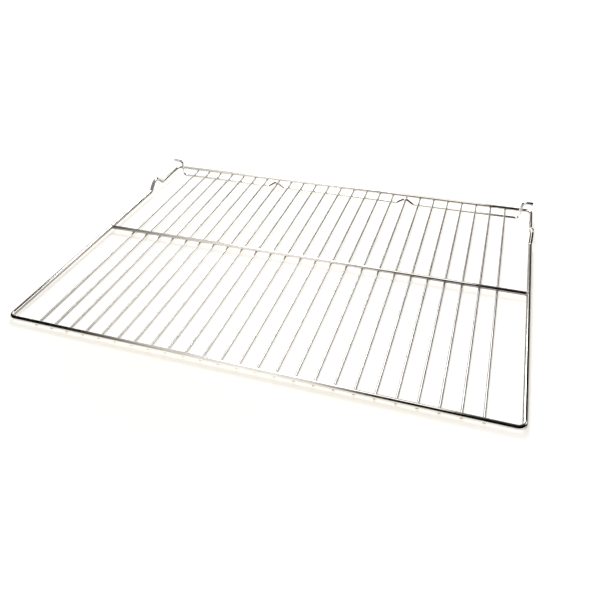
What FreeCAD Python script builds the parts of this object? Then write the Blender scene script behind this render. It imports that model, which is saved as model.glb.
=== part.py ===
import FreeCAD, Part
import Sketcher
import math
import os

# A welded wire oven shelf: a bent outer frame, a cross bar, a row of grid wires and a rear stop wire.
# Lengths are in millimetres. X runs across the shelf, +Y to its back and +Z up.
# The middle of the frame is at X = Y = 0 and the rear rail's underside is at Z = 0.

# Sizes that can be changed, one sheet cell each
SIZES = [
    ("wire_count", 25, "grid wires, an odd number so that one lies on the middle"),
    ("wire_pitch", 25.4, "from one grid wire's axis to the next"),
    ("side_gap", 43.6, "outermost grid wire's axis to the side bar's axis"),
    ("frame_depth", 517.0, "front bar's axis to back bar's axis"),
    ("frame_wire_dia", 6.35, "wire of the outer frame"),
    ("cross_bar_dia", 6.35, "wire of the cross bar"),
    ("grid_wire_dia", 3.2, "wire of the grid"),
    ("rail_wire_dia", 5.6, "wire of the rear stop wire"),
    ("corner_radius", 9.0, "bend of the frame's corners, on the wire's axis"),
    ("cross_from_front", 261.5, "cross bar's axis to the front bar's axis"),
    ("bump_from_back", 93.0, "middle of a side bar's stop bump to the back bar's axis"),
    ("bump_length", 50.0, "stop bump, foot to foot"),
    ("bump_rise", 14.0, "stop bump's axis above the side bar's axis"),
    ("bump_foot_radius", 5.5, "bends at a stop bump's feet, on the wire's axis"),
    ("bump_top_radius", 18.5, "arch at a stop bump's top, on the wire's axis"),
    ("rail_from_back", 15.0, "rear rail's axis to the back bar's axis"),
    ("leg_from_side", 18.3, "axis of an upright leg to the side bar's axis"),
    ("hook_rise", 22.0, "hook's axis above the frame's axis"),
    ("hook_length", 17.0, "leg's axis to the hook's tip"),
    ("hook_bend_radius", 7.0, "bends at both ends of a leg, on the wire's axis"),
    ("hump_wire_step", 5, "the rail passes over the grid wire this many places from the middle one"),
    ("hump_length", 32.5, "rail's hump, foot to foot"),
    ("hump_bend_radius", 5.0, "bends of a hump, on the wire's axis"),
    ("wire_overhang", 2.6, "grid wire's end beyond the axis of the bar it is welded to"),
    ("cope_depth", 1.2, "how far the cross bar's hollowed end reaches round the side bar"),
]

# Sizes that follow from the ones above, written as sheet formulas
FORMULAS = [
    ("half_width", "((wire_count - 1) * wire_pitch + 2 * side_gap) / 2"),
    ("half_depth", "frame_depth / 2"),
    ("rail_height", "rail_wire_dia / 2"),
    ("wire_height", "rail_height + (rail_wire_dia + grid_wire_dia) / 2"),
    ("frame_height", "wire_height + (grid_wire_dia + frame_wire_dia) / 2"),
    ("cross_height", "wire_height + (grid_wire_dia + cross_bar_dia) / 2"),
    ("hook_height", "frame_height + hook_rise"),
    ("hump_rise", "rail_wire_dia + grid_wire_dia"),
    ("hump_middle", "hump_wire_step * wire_pitch"),
    ("hump_start", "hump_middle - hump_length / 2"),
    ("hump_end", "hump_middle + hump_length / 2"),
    ("cross_place", "cross_from_front - half_depth"),
    ("rail_place", "half_depth - rail_from_back"),
    ("leg_place", "half_width - leg_from_side"),
    ("tip_place", "leg_place + hook_length"),
    ("bump_start", "half_depth - bump_from_back - bump_length / 2"),
    ("bump_end", "half_depth - bump_from_back + bump_length / 2"),
    ("wire_length", "frame_depth + 2 * wire_overhang"),
    ("cross_reach", "half_width - frame_wire_dia / 2 + cope_depth"),
]

doc = FreeCAD.newDocument("oven_shelf")
sheet = doc.addObject("Spreadsheet::Sheet", "sizes")
for row, (alias, value, note) in enumerate(SIZES, 1):
    sheet.set(f"A{row}", note)
    sheet.set(f"B{row}", str(value))
    sheet.setAlias(f"B{row}", alias)
for row, (alias, formula) in enumerate(FORMULAS, len(SIZES) + 1):
    sheet.set(f"B{row}", f"={formula}")
    sheet.setAlias(f"B{row}", alias)
doc.recompute()


def size(alias):
    return float(getattr(sheet, alias))


def add_body(name):
    body = doc.addObject("PartDesign::Body", name)
    body.Label = name
    return body


def origin_plane(body, role):
    return next(plane for plane in body.Origin.OriginFeatures if plane.Role == role)


def add_sketch(body, role, name, offset=None):
    """An empty sketch on one of the body's origin planes, moved along its normal by a formula."""
    sketch = body.newObject("Sketcher::SketchObject", name)
    sketch.AttachmentSupport = [(origin_plane(body, role), "")]
    sketch.MapMode = "FlatFace"
    if offset:
        sketch.setExpression("AttachmentOffset.Base.z", offset)
    return sketch


def bind(sketch, formula, kind, *where):
    """Adds a sketch dimension and drives it by a sheet formula."""
    value = abs(float(sheet.evalExpression(formula)))
    index = sketch.addConstraint(Sketcher.Constraint(kind, *where, value))
    sketch.setExpression(f"Constraints[{index}]", formula)


def add_chain(sketch, pieces):
    """Draws lines and arcs end to end, each tangent to the next. Returns each one's (first, last) point."""
    ends = []
    for kind, *values in pieces:
        if kind == "line":
            (x0, y0), (x1, y1) = values
            curve = Part.LineSegment(FreeCAD.Vector(x0, y0, 0), FreeCAD.Vector(x1, y1, 0))
            ends.append((1, 2))
        else:
            (x, y), radius, start, stop = values
            circle = Part.Circle(FreeCAD.Vector(x, y, 0), FreeCAD.Vector(0, 0, 1), radius)
            low, high = sorted((math.radians(start), math.radians(stop)))
            curve = Part.ArcOfCircle(circle, low, high)
            ends.append((1, 2) if stop > start else (2, 1))
        index = sketch.addGeometry(curve, False)
        if index:
            joint = (index - 1, ends[index - 1][1], index, ends[index][0])
            sketch.addConstraint(Sketcher.Constraint("Tangent", *joint))
    return ends


def hump_curves(start, end, foot, rise, foot_bend, top_bend):
    """Lifts a straight wire between two feet: a bend, a flank, two bends at the top, a flank, a bend."""
    run = (end - start) / 2
    bends = foot_bend + top_bend
    turn = math.asin(bends / math.hypot(run, bends - rise)) - math.atan2(bends - rise, run)
    angle = math.degrees(turn)
    foot_across = foot_bend * math.sin(turn)
    foot_up = foot_bend * (1 - math.cos(turn))
    top_across = top_bend * math.sin(turn)
    top_down = top_bend * (1 - math.cos(turn))
    middle = start + run
    top = foot + rise
    return [
        ("arc", (start, foot + foot_bend), foot_bend, -90, angle - 90),
        ("line", (start + foot_across, foot + foot_up), (middle - top_across, top - top_down)),
        ("arc", (middle, top - top_bend), top_bend, 90 + angle, 90),
        ("arc", (middle, top - top_bend), top_bend, 90, 90 - angle),
        ("line", (middle + top_across, top - top_down), (end - foot_across, foot + foot_up)),
        ("arc", (end, foot + foot_bend), foot_bend, -90 - angle, -90),
    ]


def hold_hump(sketch, first, rise, run, foot_bend, top_bend):
    """Ties six curves, from geometry number first on, to formulas for their rise, half length and bends."""
    left_top, right_top, last = first + 2, first + 3, first + 5
    sketch.addConstraint(Sketcher.Constraint("Equal", first, last))
    sketch.addConstraint(Sketcher.Constraint("Equal", left_top, right_top))
    sketch.addConstraint(Sketcher.Constraint("Vertical", left_top, 1, left_top, 3))
    bind(sketch, rise, "DistanceY", first, 1, left_top, 1)
    bind(sketch, run, "DistanceX", first, 1, left_top, 1)
    bind(sketch, foot_bend, "Radius", first)
    bind(sketch, top_bend, "Radius", left_top)


def add_profile(body, role, name, across, up, diameter, offset=None):
    """A wire's round section, centred on two formulas. The sign of the first one picks the side."""
    profile = add_sketch(body, role, name, offset)
    x = float(sheet.evalExpression(across))
    y = float(sheet.evalExpression(up))
    radius = float(sheet.evalExpression(diameter)) / 2
    profile.addGeometry(Part.Circle(FreeCAD.Vector(x, y, 0), FreeCAD.Vector(0, 0, 1), radius), False)
    if x < 0:
        bind(profile, f"-({across})", "DistanceX", 0, 3, -1, 1)
    else:
        bind(profile, across, "DistanceX", -1, 1, 0, 3)
    bind(profile, up, "DistanceY", -1, 1, 0, 3)
    bind(profile, diameter, "Diameter", 0)
    return profile


def add_pipe(body, name, profile, path):
    """Sweeps a round section along a drawn path."""
    pipe = body.newObject("PartDesign::AdditivePipe", name)
    pipe.Profile = profile
    edges = [f"Edge{number}" for number in range(1, len(path.Geometry) + 1)]
    pipe.Spine = (path, edges)
    return pipe


def add_mirror(body, name, features):
    """Copies features to the other side of the middle plane."""
    mirror = body.newObject("PartDesign::Mirrored", name)
    mirror.Originals = features
    mirror.MirrorPlane = (origin_plane(body, "YZ_Plane"), [""])
    body.Tip = mirror
    return mirror


def add_frame_corner(body, name, side):
    """Half of the front (side -1) or back (side 1) bar, a corner and the side bar up to its stop bump."""
    bar = side * size("half_depth")
    reach = size("half_width")
    bend = size("corner_radius")
    stop = size("bump_start" if side < 0 else "bump_end")
    path = add_sketch(body, "XY_Plane", f"{name}_path", "sizes.frame_height")
    add_chain(path, [
        ("line", (0, bar), (reach - bend, bar)),
        ("arc", (reach - bend, bar - side * bend), bend, side * 90, 0),
        ("line", (reach, bar - side * bend), (reach, stop)),
    ])
    path.addConstraint(Sketcher.Constraint("Horizontal", 0))
    path.addConstraint(Sketcher.Constraint("Vertical", 2))
    path.addConstraint(Sketcher.Constraint("PointOnObject", 0, 1, -2))
    middle_to_bar = (0, 1, -1, 1) if side < 0 else (-1, 1, 0, 1)
    bind(path, "sizes.half_depth", "DistanceY", *middle_to_bar)
    bind(path, "sizes.half_width", "DistanceX", -1, 1, 2, 2)
    bind(path, "sizes.bump_start" if side < 0 else "sizes.bump_end", "DistanceY", -1, 1, 2, 2)
    bind(path, "sizes.corner_radius", "Radius", 1)
    across = "-sizes.half_depth" if side < 0 else "sizes.half_depth"
    profile = add_profile(body, "YZ_Plane", f"{name}_section", across, "sizes.frame_height",
                          "sizes.frame_wire_dia")
    return add_pipe(body, f"{name}_wire", profile, path)


def add_stop_bump(body):
    """The raised bump of the right side bar."""
    foot = size("frame_height")
    path = add_sketch(body, "YZ_Plane", "bump_path", "sizes.half_width")
    add_chain(path, hump_curves(size("bump_start"), size("bump_end"), foot, size("bump_rise"),
                                size("bump_foot_radius"), size("bump_top_radius")))
    front_foot, back_foot = 0, 5
    path.addConstraint(Sketcher.Constraint("Vertical", front_foot, 1, front_foot, 3))
    path.addConstraint(Sketcher.Constraint("Vertical", back_foot, 2, back_foot, 3))
    path.addConstraint(Sketcher.Constraint("Horizontal", front_foot, 1, back_foot, 2))
    bind(path, "sizes.bump_start", "DistanceX", -1, 1, front_foot, 1)
    bind(path, "sizes.bump_end", "DistanceX", -1, 1, back_foot, 2)
    bind(path, "sizes.frame_height", "DistanceY", -1, 1, front_foot, 1)
    hold_hump(path, front_foot, "sizes.bump_rise", "sizes.bump_length / 2", "sizes.bump_foot_radius",
              "sizes.bump_top_radius")
    profile = add_profile(body, "XZ_Plane", "bump_section", "sizes.half_width", "sizes.frame_height",
                          "sizes.frame_wire_dia", "-sizes.bump_start")
    return add_pipe(body, "bump_wire", profile, path)


def add_outer_frame():
    """The closed frame: its right half is bent in three runs, then mirrored."""
    body = add_body("outer_frame")
    runs = [add_frame_corner(body, "front", -1), add_stop_bump(body), add_frame_corner(body, "back", 1)]
    add_mirror(body, "left_half", runs)
    return body


def add_rear_stop_wire():
    """The low rear rail with its humps, upright legs and outward hooks."""
    body = add_body("rear_stop_wire")
    low = size("rail_height")
    high = size("hook_height")
    leg = size("leg_place")
    bend = size("hook_bend_radius")
    path = add_sketch(body, "XZ_Plane", "rail_path", "-sizes.rail_place")
    pieces = [("line", (0, low), (size("hump_start"), low))]
    pieces += hump_curves(size("hump_start"), size("hump_end"), low, size("hump_rise"),
                          size("hump_bend_radius"), size("hump_bend_radius"))
    pieces += [
        ("line", (size("hump_end"), low), (leg - bend, low)),
        ("arc", (leg - bend, low + bend), bend, -90, 0),
        ("line", (leg, low + bend), (leg, high - bend)),
        ("arc", (leg + bend, high - bend), bend, 180, 90),
        ("line", (leg + bend, high), (size("tip_place"), high)),
    ]
    ends = add_chain(path, pieces)
    inner, outer, lower_bend, upright, upper_bend, hook = 0, 7, 8, 9, 10, 11
    for level in (inner, outer, hook):
        path.addConstraint(Sketcher.Constraint("Horizontal", level))
    path.addConstraint(Sketcher.Constraint("Vertical", upright))
    path.addConstraint(Sketcher.Constraint("PointOnObject", inner, 1, -2))
    path.addConstraint(Sketcher.Constraint("Horizontal", inner, 2, outer, 1))
    bind(path, "sizes.rail_height", "DistanceY", -1, 1, inner, 1)
    bind(path, "sizes.hump_start", "DistanceX", -1, 1, inner, 2)
    bind(path, "sizes.hump_end", "DistanceX", -1, 1, outer, 1)
    hold_hump(path, inner + 1, "sizes.hump_rise", "sizes.hump_length / 2", "sizes.hump_bend_radius",
              "sizes.hump_bend_radius")
    bind(path, "sizes.leg_place", "DistanceX", -1, 1, upright, 1)
    bind(path, "sizes.hook_bend_radius", "Radius", lower_bend)
    bind(path, "sizes.hook_bend_radius", "Radius", upper_bend)
    bind(path, "sizes.hook_height", "DistanceY", -1, 1, hook, ends[hook][1])
    bind(path, "sizes.tip_place", "DistanceX", -1, 1, hook, ends[hook][1])
    profile = add_profile(body, "YZ_Plane", "rail_section", "sizes.rail_place", "sizes.rail_height",
                          "sizes.rail_wire_dia")
    pipe = add_pipe(body, "rail_wire", profile, path)
    add_mirror(body, "left_rail", [pipe])
    return body


def add_rod(name, length, diameter, turn, places):
    """A straight round wire. turn lays it along X or Y; places are formulas for its first end."""
    rod = doc.addObject("Part::Cylinder", name)
    rod.Label = name
    rod.setExpression("Height", length)
    rod.setExpression("Radius", f"{diameter} / 2")
    rod.Placement.Rotation = turn
    for axis, formula in zip("xyz", places):
        rod.setExpression(f"Placement.Base.{axis}", formula)
    return rod


def add_cross_bar(outer_frame):
    """The cross bar: a rod whose ends are coped to fit round the side bars."""
    rod = add_rod("cross_rod", "2 * sizes.cross_reach", "sizes.cross_bar_dia", along_x,
                  ["-sizes.cross_reach", "sizes.cross_place", "sizes.cross_height"])
    cross_bar = doc.addObject("Part::Cut", "cross_bar")
    cross_bar.Label = "cross_bar"
    cross_bar.Base = rod
    cross_bar.Tool = outer_frame
    return cross_bar


along_x = FreeCAD.Rotation(FreeCAD.Vector(0, 1, 0), 90)
along_y = FreeCAD.Rotation(FreeCAD.Vector(1, 0, 0), -90)

outer_frame = add_outer_frame()
pieces = [outer_frame, add_rear_stop_wire(), add_cross_bar(outer_frame)]
for number in range(1, int(size("wire_count")) + 1):
    place = f"({number} - (sizes.wire_count + 1) / 2) * sizes.wire_pitch"
    pieces.append(add_rod(f"grid_wire_{number:02d}", "sizes.wire_length", "sizes.grid_wire_dia", along_y,
                          [place, "-sizes.wire_length / 2", "sizes.wire_height"]))

doc.recompute()

# Every object has to be sound before anything is written
for item in doc.Objects:
    if "Invalid" in item.State or "Error" in item.State:
        raise RuntimeError(f"{item.Name} did not rebuild: {item.State}")
for piece in pieces:
    if piece.Shape.isNull() or not piece.Shape.isValid() or len(piece.Shape.Solids) != 1:
        raise RuntimeError(f"{piece.Label} is not one sound solid")

os.makedirs("parts", exist_ok=True)
for piece in pieces:
    piece.Shape.exportStep(f"parts/{piece.Label}.step")
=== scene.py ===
import bmesh
import bpy
import math
from mathutils import Matrix, Vector, noise


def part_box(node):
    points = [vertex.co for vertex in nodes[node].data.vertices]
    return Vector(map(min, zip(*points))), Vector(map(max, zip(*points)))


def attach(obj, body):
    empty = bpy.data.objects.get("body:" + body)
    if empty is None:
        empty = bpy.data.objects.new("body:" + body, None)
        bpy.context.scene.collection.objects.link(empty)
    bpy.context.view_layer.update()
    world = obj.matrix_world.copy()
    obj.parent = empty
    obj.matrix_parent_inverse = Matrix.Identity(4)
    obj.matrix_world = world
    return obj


# Looks of a welded wire oven shelf. Lengths are in metres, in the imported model's own frame.
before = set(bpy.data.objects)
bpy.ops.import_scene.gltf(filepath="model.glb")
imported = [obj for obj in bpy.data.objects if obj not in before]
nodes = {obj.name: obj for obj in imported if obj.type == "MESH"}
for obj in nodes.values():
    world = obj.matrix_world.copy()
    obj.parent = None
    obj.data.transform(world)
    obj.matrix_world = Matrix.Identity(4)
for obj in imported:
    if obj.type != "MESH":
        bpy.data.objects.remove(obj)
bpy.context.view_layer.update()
mm = 0.001

# Places and wire sizes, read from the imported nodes' boxes
frame_low, frame_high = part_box("outer_frame")
cross_low, cross_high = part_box("cross_bar")
rail_low, rail_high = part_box("rear_stop_wire")
wire_names = sorted(name for name in nodes if name.startswith("grid_wire_"))
wire_boxes = [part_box(name) for name in wire_names]
wire_places = [(low.x + high.x) / 2 for low, high in wire_boxes]
wire_bottom = wire_boxes[0][0].z
wire_top = wire_boxes[0][1].z
wire_front = wire_boxes[0][0].y
bar_radius = (cross_high.z - cross_low.z) / 2
rail_radius = (rail_high.y - rail_low.y) / 2
front_line = frame_low.y + bar_radius
back_line = frame_high.y - bar_radius
cross_line = (cross_low.y + cross_high.y) / 2
cross_height = (cross_low.z + cross_high.z) / 2
rail_line = (rail_low.y + rail_high.y) / 2
side_line = frame_high.x - bar_radius
hook_height = rail_high.z - rail_radius

# Places in the row of grid wires, counted from 0, that the rear stop wire's two humps pass over
hump_wires = (7, 17)
sides = (("right", 1), ("left", -1))

# Sockets of a colour mix, by number because its other kinds of socket have the same names
mix_amount, mix_first, mix_second, mix_result = 0, 6, 7, 2
white = (1, 1, 1)


def add_node(tree, kind, **values):
    """A shader node with its plain settings and its unlinked inputs filled in."""
    node = tree.nodes.new(kind)
    for key, value in values.items():
        if key in node.inputs:
            node.inputs[key].default_value = value
        else:
            setattr(node, key, value)
    return node


def map_range(tree, value, span, low, high, curve):
    """Goes from low to high while a value goes along a span, and stays level outside it."""
    node = add_node(tree, "ShaderNodeMapRange", interpolation_type=curve, clamp=True)
    start, end = span
    node.inputs["From Min"].default_value = start
    node.inputs["From Max"].default_value = end
    node.inputs["To Min"].default_value = low
    node.inputs["To Max"].default_value = high
    tree.links.new(value, node.inputs["Value"])
    return node.outputs["Result"]


def ease(tree, value, span, low, high):
    """Goes from low to high along a span, with soft ends."""
    return map_range(tree, value, span, low, high, "SMOOTHSTEP")


def combine(tree, operation, first, *others):
    """Takes one operation through two or more shader values, from the first to the last."""
    result = first
    for other in others:
        node = add_node(tree, "ShaderNodeMath", operation=operation)
        tree.links.new(result, node.inputs[0])
        tree.links.new(other, node.inputs[1])
        result = node.outputs["Value"]
    return result


def band(tree, value, rise, fall, level=1.0):
    """Comes up to a level along one span, goes back to none along another."""
    rising = ease(tree, value, rise, 0.0, level)
    falling = ease(tree, value, fall, 1.0, 0.0)
    return combine(tree, "MULTIPLY", rising, falling)


def mix_colours(tree, amount, first, second):
    """Goes from the first colour to the second. The first may be a shader value."""
    node = add_node(tree, "ShaderNodeMix", data_type="RGBA")
    tree.links.new(amount, node.inputs[mix_amount])
    if isinstance(first, tuple):
        node.inputs[mix_first].default_value = (*first, 1)
    else:
        tree.links.new(first, node.inputs[mix_first])
    node.inputs[mix_second].default_value = (*second, 1)
    return node.outputs[mix_result]


def split_axes(tree, place):
    """The X, Y and Z of a shader place or direction."""
    node = add_node(tree, "ShaderNodeSeparateXYZ")
    tree.links.new(place, node.inputs["Vector"])
    return [node.outputs[axis] for axis in "XYZ"]


# Plating: most noise lies in the span; scales are noise cells to a metre along X, Y and Z
noise_span, noise_roughness = (0.3, 0.7), 0.6
cloud_scale, cloud_detail = (60, 60, 60), 4.0
polish_scale, polish_detail = (150, 150, 150), 3.0
along_x, along_y, even = (12, 1500, 1500), (1500, 12, 1500), (900, 900, 900)
grain_detail, grain_strength = 2.0, 0.12
# Colour of the painted highlight on the grid wires' ends
painted_end_highlight = (0.96, 0.94, 0.90)


def stretched_noise(tree, scale, detail):
    """Noise in object space, drawn out along the axis whose scale is small."""
    place = add_node(tree, "ShaderNodeTexCoord")
    mapping = add_node(tree, "ShaderNodeMapping")
    mapping.inputs["Scale"].default_value = scale
    texture = add_node(tree, "ShaderNodeTexNoise", Scale=1.0, Detail=detail, Roughness=noise_roughness)
    tree.links.new(place.outputs["Object"], mapping.inputs["Vector"])
    tree.links.new(mapping.outputs["Vector"], texture.inputs["Vector"])
    return texture.outputs["Fac"]


def spread(tree, value, low, high):
    """Maps the usual span of noise onto low to high."""
    return map_range(tree, value, noise_span, low, high, "LINEAR")


def paint_end_highlight(tree, colour, span):
    """A painted highlight: paler colour where the distance from the middle, front to back, goes along a
    span.
    """
    place = add_node(tree, "ShaderNodeTexCoord")
    depth = split_axes(tree, place.outputs["Object"])[1]
    reach = add_node(tree, "ShaderNodeMath", operation="ABSOLUTE")
    tree.links.new(depth, reach.inputs[0])
    amount = ease(tree, reach.outputs["Value"], span, 0.0, 1.0)
    return mix_colours(tree, amount, colour, painted_end_highlight)


def plated_metal(name, tints, polish, grain, grain_depth, ends=None):
    """Bright plated steel with a cloudy tint, uneven polish and fine grain, and a painted highlight on its
    ends if given.
    """
    material = bpy.data.materials.new(name)
    material.use_nodes = True
    tree = material.node_tree
    shader = tree.nodes["Principled BSDF"]
    shader.inputs["Metallic"].default_value = 1.0

    cloud = spread(tree, stretched_noise(tree, cloud_scale, cloud_detail), 0.0, 1.0)
    colour = mix_colours(tree, cloud, *tints)
    if ends:
        colour = paint_end_highlight(tree, colour, ends)
    tree.links.new(colour, shader.inputs["Base Color"])

    roughness = spread(tree, stretched_noise(tree, polish_scale, polish_detail), *polish)
    tree.links.new(roughness, shader.inputs["Roughness"])

    lines = stretched_noise(tree, grain, grain_detail)
    bump = add_node(tree, "ShaderNodeBump", Strength=grain_strength, Distance=grain_depth)
    tree.links.new(lines, bump.inputs["Height"])
    tree.links.new(bump.outputs["Normal"], shader.inputs["Normal"])
    return material


# Each metal's darker and lighter tint, its smoothest and roughest polish, and the depth of its grain
bar_tints, bar_polish = ((0.66, 0.63, 0.59), (0.76, 0.73, 0.69)), (0.07, 0.15)
# The stop wire's tints, lighter than the bars', are a painted highlight on the same plating
stop_tints, stop_polish = ((0.80, 0.78, 0.76), (0.88, 0.86, 0.84)), (0.13, 0.22)
wire_tints, wire_polish = ((0.50, 0.49, 0.48), (0.58, 0.57, 0.56)), (0.26, 0.34)
weld_tints, weld_polish = ((0.74, 0.72, 0.69), (0.86, 0.84, 0.81)), (0.30, 0.48)
bar_grain, wire_grain, weld_grain = 0.04 * mm, 0.03 * mm, 0.10 * mm
# Span, front to back, of the painted highlight on the grid wires' ends
wire_end_highlight_span = (-front_line - 1.5 * mm, -front_line + 0.5 * mm)
frame_metal = plated_metal("plated_frame", bar_tints, bar_polish, even, bar_grain)
bar_metal = plated_metal("plated_bar", bar_tints, bar_polish, along_x, bar_grain)
stop_metal = plated_metal("plated_stop", stop_tints, stop_polish, along_x, bar_grain)
wire_metal = plated_metal("plated_grid", wire_tints, wire_polish, along_y, wire_grain, wire_end_highlight_span)
weld_metal = plated_metal("plated_weld", weld_tints, weld_polish, even, weld_grain)


def set_material(thing, material):
    thing.data.materials.clear()
    thing.data.materials.append(material)


def dress_node(name, material):
    for slot in nodes[name].material_slots:
        slot.material = material


dress_node("outer_frame", frame_metal)
dress_node("rear_stop_wire", stop_metal)
dress_node("cross_bar", bar_metal)
for name in wire_names:
    dress_node(name, wire_metal)


def add_piece(name, form, material):
    """Makes a form into a piece of the rack, which rides with it and takes the plated finish."""
    mesh = bpy.data.meshes.new(name)
    form.to_mesh(mesh)
    form.free()
    for polygon in mesh.polygons:
        polygon.use_smooth = True
    piece = bpy.data.objects.new(name, mesh)
    bpy.context.scene.collection.objects.link(piece)
    set_material(piece, material)
    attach(piece, "root")


# Resistance welds: half sizes of the nuggets, how far those of the outer bars sit in, how uneven they are
nugget = (1.7 * mm, 2.4 * mm, 0.9 * mm)
rail_nugget = (1.7 * mm, 2.3 * mm, 0.9 * mm)
set_in = 1.0 * mm
unevenness, lump_scale = 0.16, 1.7
seed_step_x, seed_step_y = 7.3, 3.1


def add_nugget(form, centre, radii, seed):
    """A small lump of weld metal round a contact point, uneven on its surface."""
    made = bmesh.ops.create_icosphere(form, subdivisions=3, radius=1.0)
    start = Vector((seed * seed_step_x, seed * seed_step_y, 0))
    for vertex in made["verts"]:
        wobble = 1 + unevenness * noise.noise(vertex.co * lump_scale + start)
        point = vertex.co * wobble
        vertex.co = centre + Vector((point.x * radii[0], point.y * radii[1], point.z * radii[2]))


def add_nuggets(name, centres, radii):
    """One piece that holds a row of weld nuggets."""
    form = bmesh.new()
    for number, centre in enumerate(centres):
        add_nugget(form, centre, radii, number + len(name))
    add_piece(name, form, weld_metal)


for bar, line in (("front", front_line + set_in), ("cross", cross_line), ("back", back_line - set_in)):
    add_nuggets(f"{bar}_bar_welds", [Vector((x, line, wire_top)) for x in wire_places], nugget)
rail_contacts = []
for number, x in enumerate(wire_places):
    contact = wire_top if number in hump_wires else wire_bottom
    rail_contacts.append(Vector((x, rail_line, contact)))
add_nuggets("rail_welds", rail_contacts, rail_nugget)

# Tee welds: the bead's path as shares of the bar's radius, then its size in millimetres and its form
tee_steps, bead_sides = 64, 12
deepest_reach, stand_off, bead_seat = 0.82, 0.15, 0.98
bead_size, bead_swing, bead_noise_scale = 0.95, 0.35, 2.1
bead_rise, bead_width = 0.85, 1.25


def add_tee_weld(name, side):
    """The bead round the end of the cross bar, laid along the line where it meets the side bar."""
    form = bmesh.new()
    inward = Vector((-side, 0, 0))
    rings = []
    for step in range(tee_steps):
        angle = 2 * math.pi * step / tee_steps
        up = bar_radius * math.sin(angle)
        reach = math.sqrt(max(bar_radius ** 2 - up ** 2, 0.0))
        hollow = min(reach, deepest_reach * bar_radius) + stand_off * bar_radius
        outward = Vector((0, math.cos(angle), math.sin(angle)))
        middle = Vector((side * (side_line - hollow), cross_line, cross_height))
        middle += outward * bar_radius * bead_seat
        place = Vector((math.cos(angle), math.sin(angle), side)) * bead_noise_scale
        size = (bead_size + bead_swing * noise.noise(place)) * mm
        ring = []
        for turn in range(bead_sides):
            spin = 2 * math.pi * turn / bead_sides
            offset = outward * math.cos(spin) * size * bead_rise
            offset += inward * math.sin(spin) * size * bead_width
            ring.append(form.verts.new(middle + offset))
        rings.append(ring)
    for step, ring in enumerate(rings):
        following = rings[(step + 1) % tee_steps]
        for turn in range(bead_sides):
            other = (turn + 1) % bead_sides
            form.faces.new((ring[turn], ring[other], following[other], following[turn]))
    bmesh.ops.recalc_face_normals(form, faces=form.faces)
    add_piece(name, form, weld_metal)


for side_name, side in sides:
    add_tee_weld(f"{side_name}_tee_weld", side)

# Hook tips: facets round and along, height of the dome in millimetres, distance that merges points
tip_facets, tip_rings = 40, 24
dome_height = 0.9
merge_distance = 0.000001


def add_tip(name, side):
    """A low dome over a hook's cut face, flat on the inside."""
    form = bmesh.new()
    bmesh.ops.create_uvsphere(form, u_segments=tip_facets, v_segments=tip_rings, radius=1.0)
    tip = rail_high.x if side > 0 else rail_low.x
    for vertex in form.verts:
        point = vertex.co.copy()
        outward = tip + side * max(point.z, 0.0) * dome_height * mm
        depth = rail_line + point.x * rail_radius
        vertex.co = Vector((outward, depth, hook_height + point.y * rail_radius))
    bmesh.ops.remove_doubles(form, verts=form.verts, dist=merge_distance)
    bmesh.ops.recalc_face_normals(form, faces=form.faces)
    add_piece(name, form, bar_metal)


for side_name, side in sides:
    add_tip(f"{side_name}_hook_tip", side)


def floor_height(y):
    """The rack rests on the front ends of its grid wires and on its rear rail, so it leans a little."""
    return wire_bottom * (rail_line - y) / (rail_line - wire_front)


# One large white sheet, which touches the rack's feet
floor_reach = 30.0
floor_corners = []
for x, y in ((-1, -1), (1, -1), (1, 1), (-1, 1)):
    floor_corners.append((x * floor_reach, y * floor_reach, floor_height(y * floor_reach)))
floor_mesh = bpy.data.meshes.new("floor")
floor_mesh.from_pydata(floor_corners, [], [(0, 1, 2, 3)])
floor = bpy.data.objects.new("floor", floor_mesh)
bpy.context.scene.collection.objects.link(floor)


def painted_sheet_in_metal(tree, across, depth, distance):
    """The sheet's brightness in the metal, painted shade and light that only reflections show.

    It is dim at the rack's two ends, so that the bars there look dark, and dimmer behind the front bar and
    the cross bar: painted shade. It is pale in the middle, at the back, in a painted strip of light just
    before the front bar, and far off.
    """
    # Painted shade: the sheet in the metal is dim at the rack's two ends and behind the front and cross bars
    dim, pale = 0.06, 1.05
    left_end, right_end = (-0.38, -0.15), (0.02, 0.24)
    front_bar_span, front_share = (-0.262, -0.250), 0.8
    cross_bar_span, rear_share = (0.0, 0.04), 0.4
    middle = combine(
        tree, "MULTIPLY",
        ease(tree, across, left_end, dim, pale),
        ease(tree, across, right_end, 1.0, dim),
        ease(tree, depth, front_bar_span, 1.0, front_share),
        ease(tree, depth, cross_bar_span, 1.0, rear_share))

    rear_start, rear_level = (0.19, 0.24), 0.9
    rear = ease(tree, depth, rear_start, 0.0, rear_level)
    # Painted light: a pale strip on the sheet just before the front bar, seen only in the metal
    strip_front, strip_back, strip_level = (-0.30, -0.275), (-0.262, -0.256), 0.85
    strip = band(tree, depth, strip_front, strip_back, strip_level)
    far_start = (0.7, 1.2)
    far = ease(tree, distance, far_start, 0.0, pale)
    return combine(tree, "MAXIMUM", middle, rear, strip, far)


def mirrored_rays(tree, path):
    """One for a ray that metal or glass sends on, none for others."""
    return combine(tree, "MAXIMUM", path.outputs["Is Glossy Ray"], path.outputs["Is Transmission Ray"])


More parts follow.
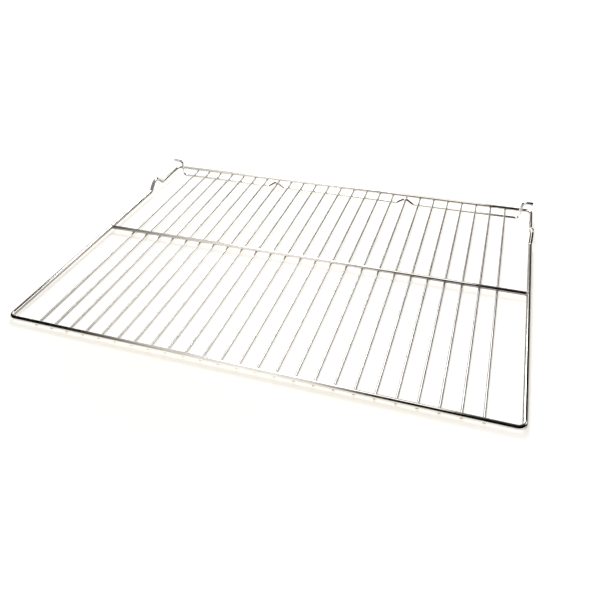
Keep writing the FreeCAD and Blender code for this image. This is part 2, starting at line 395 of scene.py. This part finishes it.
def floor_material():
    """White sheet that keeps the shadow and glows, by one amount to the camera and another in metal."""
    sheet_colour, sheet_roughness, sheet_shine = (0.82, 0.80, 0.76), 0.55, 0.2
    material = bpy.data.materials.new("white_sheet")
    material.use_nodes = True
    tree = material.node_tree
    shader = tree.nodes["Principled BSDF"]
    shader.inputs["Base Color"].default_value = (*sheet_colour, 1)
    shader.inputs["Roughness"].default_value = sheet_roughness
    shader.inputs["Specular IOR Level"].default_value = sheet_shine
    path = add_node(tree, "ShaderNodeLightPath")
    place = add_node(tree, "ShaderNodeTexCoord").outputs["Object"]
    length = add_node(tree, "ShaderNodeVectorMath", operation="LENGTH")
    tree.links.new(place, length.inputs[0])
    distance = length.outputs["Value"]
    across, depth, _ = split_axes(tree, place)

    # Cream near the rack, a painted warm tint of the shadow and of the sheet in the metal: it shows in the
    # shadow because the lamps whiten the rest, and white far off
    painted_shadow_cream, cream_end = (1.0, 0.95, 0.87), (0.30, 0.58)
    tint = mix_colours(tree, ease(tree, distance, cream_end, 0.0, 1.0), painted_shadow_cream, white)
    tree.links.new(tint, shader.inputs["Emission Color"])

    glow_span, near_glow, far_glow = (0.2, 1.2), 0.64, 1.08
    glow = ease(tree, distance, glow_span, near_glow, far_glow)
    direct = combine(tree, "MULTIPLY", path.outputs["Is Camera Ray"], glow)
    # Painted shade and light on the sheet, which only the metal shows
    painted_mirror_glow = painted_sheet_in_metal(tree, across, depth, distance)
    mirrored = combine(tree, "MULTIPLY", mirrored_rays(tree, path), painted_mirror_glow)
    tree.links.new(combine(tree, "MAXIMUM", direct, mirrored), shader.inputs["Emission Strength"])
    return material


set_material(floor, floor_material())


def add_softbox(name, place, target, width, height, power, colour):
    """A soft area lamp that faces a point."""
    lamp = bpy.data.lights.new(name, "AREA")
    lamp.shape = "RECTANGLE"
    lamp.size = width
    lamp.size_y = height
    lamp.energy = power
    lamp.color = colour
    thing = bpy.data.objects.new(name, lamp)
    bpy.context.scene.collection.objects.link(thing)
    thing.location = place
    thing.rotation_euler = (Vector(target) - Vector(place)).to_track_quat("-Z", "Y").to_euler()


# A cool lamp behind the rack, and a weak panel that hangs over its right rear part
cool = (0.93, 0.97, 1.0)
key_place, key_target = (-0.45, 1.14, 1.21), (0, 0, 0)
panel_place, panel_target = (0.15, 0.26, 0.47), (0.15, 0.26, 0)
add_softbox("key_softbox", key_place, key_target, width=0.60, height=0.60, power=11.5, colour=cool)
add_softbox("low_panel", panel_place, panel_target, width=0.26, height=0.88, power=0.8, colour=white)


# The studio's spans are parts of a direction from the rack: across, front to back and up
def studio_lights(tree, across, depth):
    """A long light and a slanting screen on the left, with a gap in them, and a small light on the right."""
    overhead_left, overhead_right, overhead_level = (-0.58, -0.36), (-0.26, -0.10), 1.15
    overhead = band(tree, across, overhead_left, overhead_right, overhead_level)

    slant_span, slant_most = (0.45, 0.90), 0.40
    slant = combine(tree, "ADD", across, ease(tree, depth, slant_span, 0.0, slant_most))
    screen_left, screen_right, screen_front, screen_level = (-0.58, -0.46), (-0.03, 0.06), (0.0, 0.20), 1.05
    screen = combine(
        tree, "MULTIPLY",
        ease(tree, slant, screen_right, screen_level, 0.0),
        ease(tree, depth, screen_front, 0.0, 1.0),
        ease(tree, across, screen_left, 0.0, 1.0))

    far_span, far_share = (0.74, 0.88), 0.35
    gap_front, gap_back, gap_share = (0.47, 0.50), (0.58, 0.63), 0.1
    gap = combine(
        tree, "MAXIMUM",
        ease(tree, depth, gap_front, 1.0, gap_share),
        ease(tree, depth, gap_back, gap_share, 1.0))
    left = combine(
        tree, "MULTIPLY",
        combine(tree, "MAXIMUM", overhead, screen),
        ease(tree, depth, far_span, 1.0, far_share),
        gap)

    right_near, right_far, right_level = (0.46, 0.52), (0.68, 0.74), 2.2
    right_front, right_back = (0.40, 0.48), (0.62, 0.70)
    right = combine(
        tree, "MULTIPLY",
        band(tree, across, right_near, right_far, right_level),
        band(tree, depth, right_front, right_back))
    return combine(tree, "MAXIMUM", left, right)


def studio_walls(tree, across, depth, height):
    """Pale low walls behind the rack and on its left, and a narrow, higher one behind its middle."""
    ceiling = 0.02
    wall_top, wall_right, wall_left, past_wall = (0.16, 0.24), (0.25, 0.45), (-0.62, -0.48), 0.05
    left_part, rear_part = (-0.20, -0.08), (-0.4, -0.1)
    left_or_rear = combine(
        tree, "MAXIMUM",
        ease(tree, across, left_part, 1.0, 0.0),
        ease(tree, depth, rear_part, 0.0, 1.0))
    low = combine(
        tree, "MULTIPLY",
        ease(tree, height, wall_top, 1.0, ceiling),
        ease(tree, across, wall_right, 1.0, past_wall),
        ease(tree, across, wall_left, past_wall, 1.0),
        left_or_rear)

    high_top, high_level, high_front = (0.10, 0.75), 0.9, (0.2, 0.4)
    high_left, high_right = (-0.06, 0.02), (0.10, 0.16)
    high = combine(
        tree, "MULTIPLY",
        ease(tree, height, high_top, high_level, ceiling),
        band(tree, across, high_left, high_right),
        ease(tree, depth, high_front, 0.0, 1.0))
    return combine(tree, "MAXIMUM", low, high)


def studio_world():
    """A dark studio with lights, pale walls and a white horizon in the metal; white to the camera."""
    world = bpy.data.worlds.new("studio")
    world.use_nodes = True
    tree = world.node_tree
    place = add_node(tree, "ShaderNodeTexCoord")
    across, depth, height = split_axes(tree, place.outputs["Generated"])
    path = add_node(tree, "ShaderNodeLightPath")
    horizon_top = (0.0, 0.10)
    horizon = combine(tree, "MULTIPLY", mirrored_rays(tree, path), ease(tree, height, horizon_top, 1.0, 0.0))
    strength = combine(
        tree, "MAXIMUM",
        studio_lights(tree, across, depth),
        studio_walls(tree, across, depth, height),
        horizon,
        path.outputs["Is Camera Ray"])
    background = tree.nodes["Background"]
    background.inputs["Color"].default_value = (*white, 1)
    tree.links.new(strength, background.inputs["Strength"])
    return world


bpy.context.scene.world = studio_world()

# Camera at the photograph's place and angle
camera_data = bpy.data.cameras.new("camera")
camera_data.sensor_width = 36.0
camera_data.lens = 35.136
camera_data.clip_end = 50
camera = bpy.data.objects.new("camera", camera_data)
bpy.context.scene.collection.objects.link(camera)
camera_place = (0.2536, -0.7427, 0.5269)
forward = Vector((-0.2579, 0.7518, -0.6068)).normalized()
right = Vector((0.9507, 0.3095, -0.0206))
right = (right - forward * right.dot(forward)).normalized()
up = right.cross(forward)
turn = Matrix((right, up, -forward)).transposed().to_4x4()
camera.matrix_world = Matrix.Translation(camera_place) @ turn
bpy.context.scene.camera = camera

bpy.context.scene.view_settings.view_transform = "Standard"
